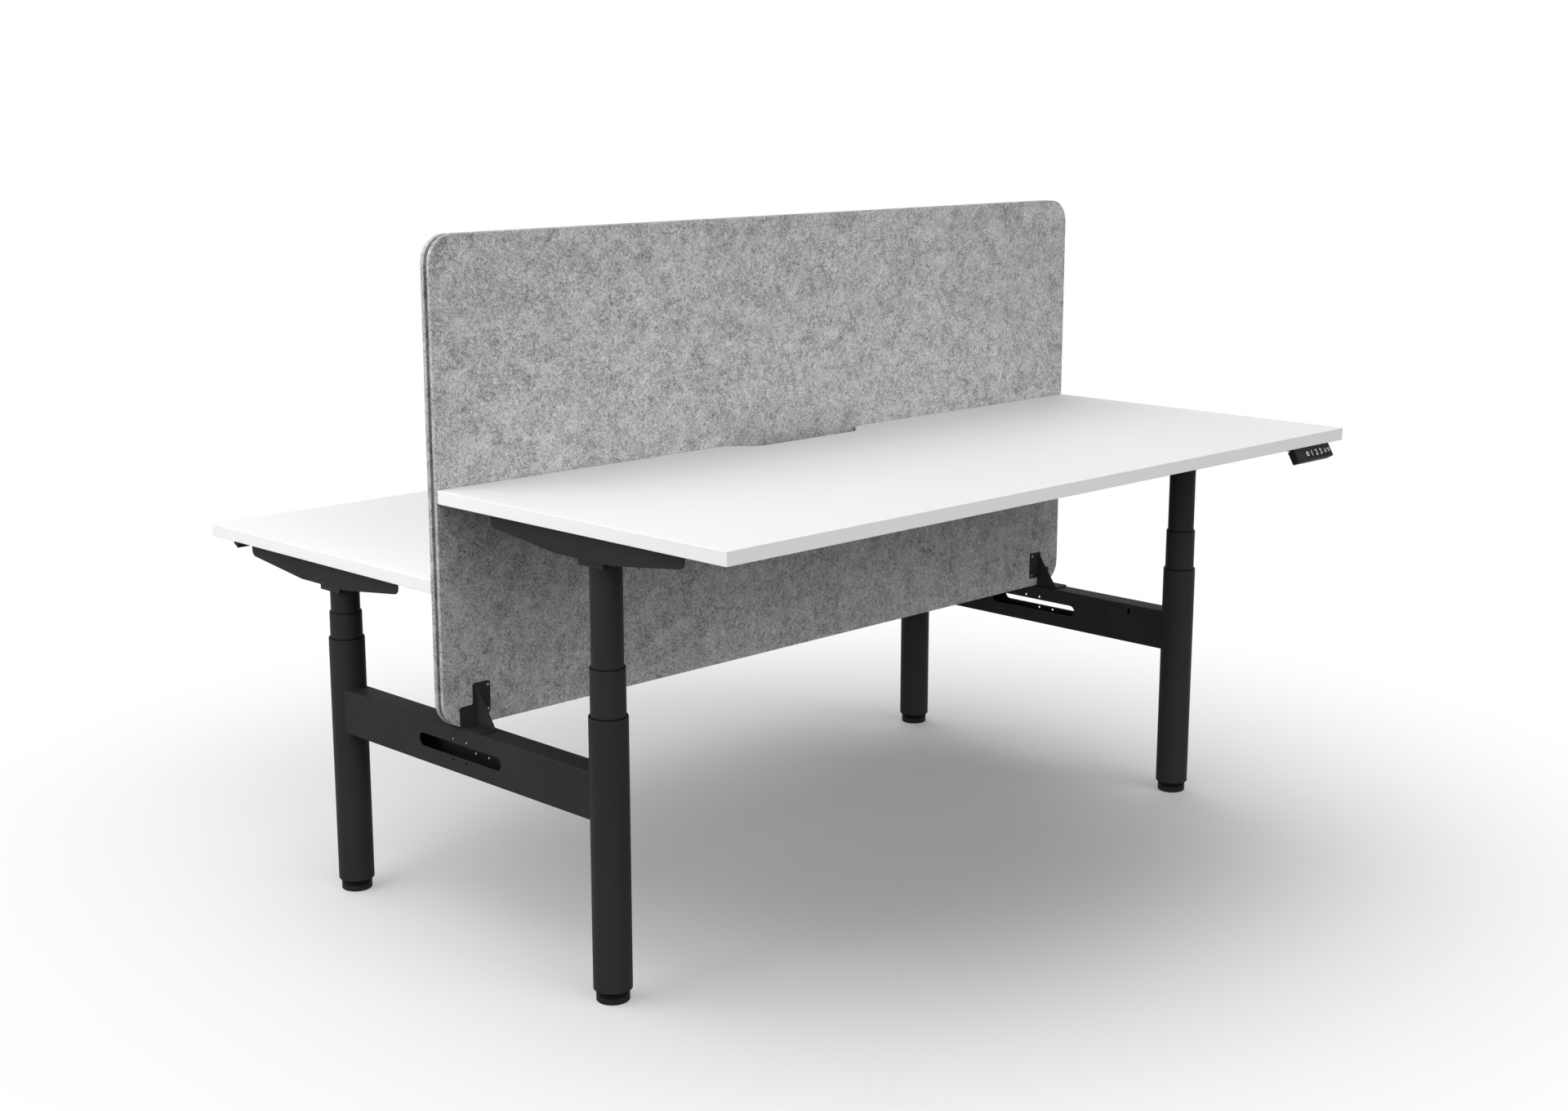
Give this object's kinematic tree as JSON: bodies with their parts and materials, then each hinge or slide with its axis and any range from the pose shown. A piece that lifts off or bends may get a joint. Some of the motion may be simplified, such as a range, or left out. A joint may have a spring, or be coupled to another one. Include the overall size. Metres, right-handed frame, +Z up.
{
  "type": "benching desk",
  "caption": "Back-to-back sit-stand desks on a shared base frame, each on telescopic lifting columns with a handset, divided by an upright felt screen",
  "frame": {"origin": "on the floor under the middle of the desk, on the screen's centre plane", "axes": "+X along the screen and the desktops' long edges, to the right as seen from the front desk; +Y from the front desk to the rear desk; +Z up"},
  "size_m": [1.8, 1.555, 1.3193],
  "materials": {
    "black_powder_coat": "fine satin black powder coat",
    "drive_metal": "black painted gear housing and motor can",
    "white_laminate": "smooth white melamine on chipboard with white edge band",
    "grey_felt": "mottled grey pressed fibre felt",
    "black_plastic": "fine matt moulded plastic",
    "glide_plastic": "smooth glide plastic",
    "foot_rubber": "matt black moulded foot"
  },
  "bodies": {
    "base_frame": {"front_left_base_tube": "black_powder_coat", "front_right_base_tube": "black_powder_coat", "rear_left_base_tube": "black_powder_coat", "rear_right_base_tube": "black_powder_coat", "front_left_base_bush": "glide_plastic", "front_right_base_bush": "glide_plastic", "rear_left_base_bush": "glide_plastic", "rear_right_base_bush": "glide_plastic", "left_cross_beam": "black_powder_coat", "right_cross_beam": "black_powder_coat", "left_access_cover": "black_powder_coat", "right_access_cover": "black_powder_coat", "front_left_screen_bracket": "black_powder_coat", "front_right_screen_bracket": "black_powder_coat", "rear_left_screen_bracket": "black_powder_coat", "rear_right_screen_bracket": "black_powder_coat", "front_felt_panel": "grey_felt", "rear_felt_panel": "grey_felt"},
    "front_left_foot": {"front_left_levelling_foot": "foot_rubber"},
    "front_right_foot": {"front_right_levelling_foot": "foot_rubber"},
    "rear_left_foot": {"rear_left_levelling_foot": "foot_rubber"},
    "rear_right_foot": {"rear_right_levelling_foot": "foot_rubber"},
    "front_left_middle_stage": {"front_left_middle_tube": "black_powder_coat", "front_left_middle_bush": "glide_plastic"},
    "front_right_middle_stage": {"front_right_middle_tube": "black_powder_coat", "front_right_middle_bush": "glide_plastic"},
    "rear_left_middle_stage": {"rear_left_middle_tube": "black_powder_coat", "rear_left_middle_bush": "glide_plastic"},
    "rear_right_middle_stage": {"rear_right_middle_tube": "black_powder_coat", "rear_right_middle_bush": "glide_plastic"},
    "front_desk": {"front_left_inner_tube": "black_powder_coat", "front_left_lift_drive": "drive_metal", "front_left_support_arm": "black_powder_coat", "front_right_inner_tube": "black_powder_coat", "front_right_lift_drive": "drive_metal", "front_right_support_arm": "black_powder_coat", "front_desktop": "white_laminate", "front_crossbar": "black_powder_coat", "front_control_box": "black_plastic", "front_handset": "black_plastic"},
    "rear_desk": {"rear_left_inner_tube": "black_powder_coat", "rear_left_lift_drive": "drive_metal", "rear_left_support_arm": "black_powder_coat", "rear_right_inner_tube": "black_powder_coat", "rear_right_lift_drive": "drive_metal", "rear_right_support_arm": "black_powder_coat", "rear_desktop": "white_laminate", "rear_crossbar": "black_powder_coat", "rear_control_box": "black_plastic", "rear_handset": "black_plastic"},
    "front_key_memory_body": {"front_key_memory": "black_plastic"},
    "front_key_one_body": {"front_key_one": "black_plastic"},
    "front_key_two_body": {"front_key_two": "black_plastic"},
    "front_key_three_body": {"front_key_three": "black_plastic"},
    "front_height_rocker_body": {"front_height_rocker": "black_plastic"},
    "rear_key_memory_body": {"rear_key_memory": "black_plastic"},
    "rear_key_one_body": {"rear_key_one": "black_plastic"},
    "rear_key_two_body": {"rear_key_two": "black_plastic"},
    "rear_key_three_body": {"rear_key_three": "black_plastic"},
    "rear_height_rocker_body": {"rear_height_rocker": "black_plastic"}
  },
  "joints": [
    {"name": "front_lift", "type": "slide", "parent": "base_frame", "child": "front_desk", "axis": [0, 0, 1], "range_m": [-0.213, 0.312]},
    {"name": "rear_lift", "type": "slide", "parent": "base_frame", "child": "rear_desk", "axis": [0, 0, 1], "range_m": [-0.044, 0.481]},
    {"name": "front_left_middle_slide", "type": "slide", "parent": "base_frame", "child": "front_left_middle_stage", "axis": [0, 0, 1], "range_m": [-0.0443, 0.0647]},
    {"name": "front_right_middle_slide", "type": "slide", "parent": "base_frame", "child": "front_right_middle_stage", "axis": [0, 0, 1], "range_m": [-0.0443, 0.0647]},
    {"name": "rear_left_middle_slide", "type": "slide", "parent": "base_frame", "child": "rear_left_middle_stage", "axis": [0, 0, 1], "range_m": [-0.0096, 0.0993]},
    {"name": "rear_right_middle_slide", "type": "slide", "parent": "base_frame", "child": "rear_right_middle_stage", "axis": [0, 0, 1], "range_m": [-0.0096, 0.0993]},
    {"name": "front_left_foot_level", "type": "slide", "parent": "base_frame", "child": "front_left_foot", "axis": [0, 0, 1], "range_m": [-0.012, 0]},
    {"name": "front_right_foot_level", "type": "slide", "parent": "base_frame", "child": "front_right_foot", "axis": [0, 0, 1], "range_m": [-0.012, 0]},
    {"name": "rear_left_foot_level", "type": "slide", "parent": "base_frame", "child": "rear_left_foot", "axis": [0, 0, 1], "range_m": [-0.012, 0]},
    {"name": "rear_right_foot_level", "type": "slide", "parent": "base_frame", "child": "rear_right_foot", "axis": [0, 0, 1], "range_m": [-0.012, 0]},
    {"name": "front_key_three_press", "type": "slide", "parent": "front_desk", "child": "front_key_three_body", "axis": [0, 0.866, -0.5], "range_m": [0, 0.0008], "stiffness_N_per_m": 1500},
    {"name": "front_key_two_press", "type": "slide", "parent": "front_desk", "child": "front_key_two_body", "axis": [0, 0.866, -0.5], "range_m": [0, 0.0008], "stiffness_N_per_m": 1500},
    {"name": "front_key_one_press", "type": "slide", "parent": "front_desk", "child": "front_key_one_body", "axis": [0, 0.866, -0.5], "range_m": [0, 0.0008], "stiffness_N_per_m": 1500},
    {"name": "front_key_memory_press", "type": "slide", "parent": "front_desk", "child": "front_key_memory_body", "axis": [0, 0.866, -0.5], "range_m": [0, 0.0008], "stiffness_N_per_m": 1500},
    {"name": "front_height_rock", "type": "hinge", "parent": "front_desk", "child": "front_height_rocker_body", "pos_m": [0.83, -0.76852, 0.82894], "axis": [0, 0.5, 0.866], "range_deg": [-2.5, 2.5], "stiffness_Nm_per_rad": 0.4},
    {"name": "rear_key_three_press", "type": "slide", "parent": "rear_desk", "child": "rear_key_three_body", "axis": [0, -0.866, -0.5], "range_m": [0, 0.0008], "stiffness_N_per_m": 1500},
    {"name": "rear_key_two_press", "type": "slide", "parent": "rear_desk", "child": "rear_key_two_body", "axis": [0, -0.866, -0.5], "range_m": [0, 0.0008], "stiffness_N_per_m": 1500},
    {"name": "rear_key_one_press", "type": "slide", "parent": "rear_desk", "child": "rear_key_one_body", "axis": [0, -0.866, -0.5], "range_m": [0, 0.0008], "stiffness_N_per_m": 1500},
    {"name": "rear_key_memory_press", "type": "slide", "parent": "rear_desk", "child": "rear_key_memory_body", "axis": [0, -0.866, -0.5], "range_m": [0, 0.0008], "stiffness_N_per_m": 1500},
    {"name": "rear_height_rock", "type": "hinge", "parent": "rear_desk", "child": "rear_height_rocker_body", "pos_m": [-0.83, 0.76852, 0.65994], "axis": [0, -0.5, 0.866], "range_deg": [-2.5, 2.5], "stiffness_Nm_per_rad": 0.4}
  ],
  "couplings": [
    {"joint": "front_left_middle_slide", "follows": "front_lift", "ratio": 0.2053},
    {"joint": "front_right_middle_slide", "follows": "front_lift", "ratio": 0.2053},
    {"joint": "rear_left_middle_slide", "follows": "rear_lift", "ratio": 0.2053},
    {"joint": "rear_right_middle_slide", "follows": "rear_lift", "ratio": 0.2053}
  ]
}
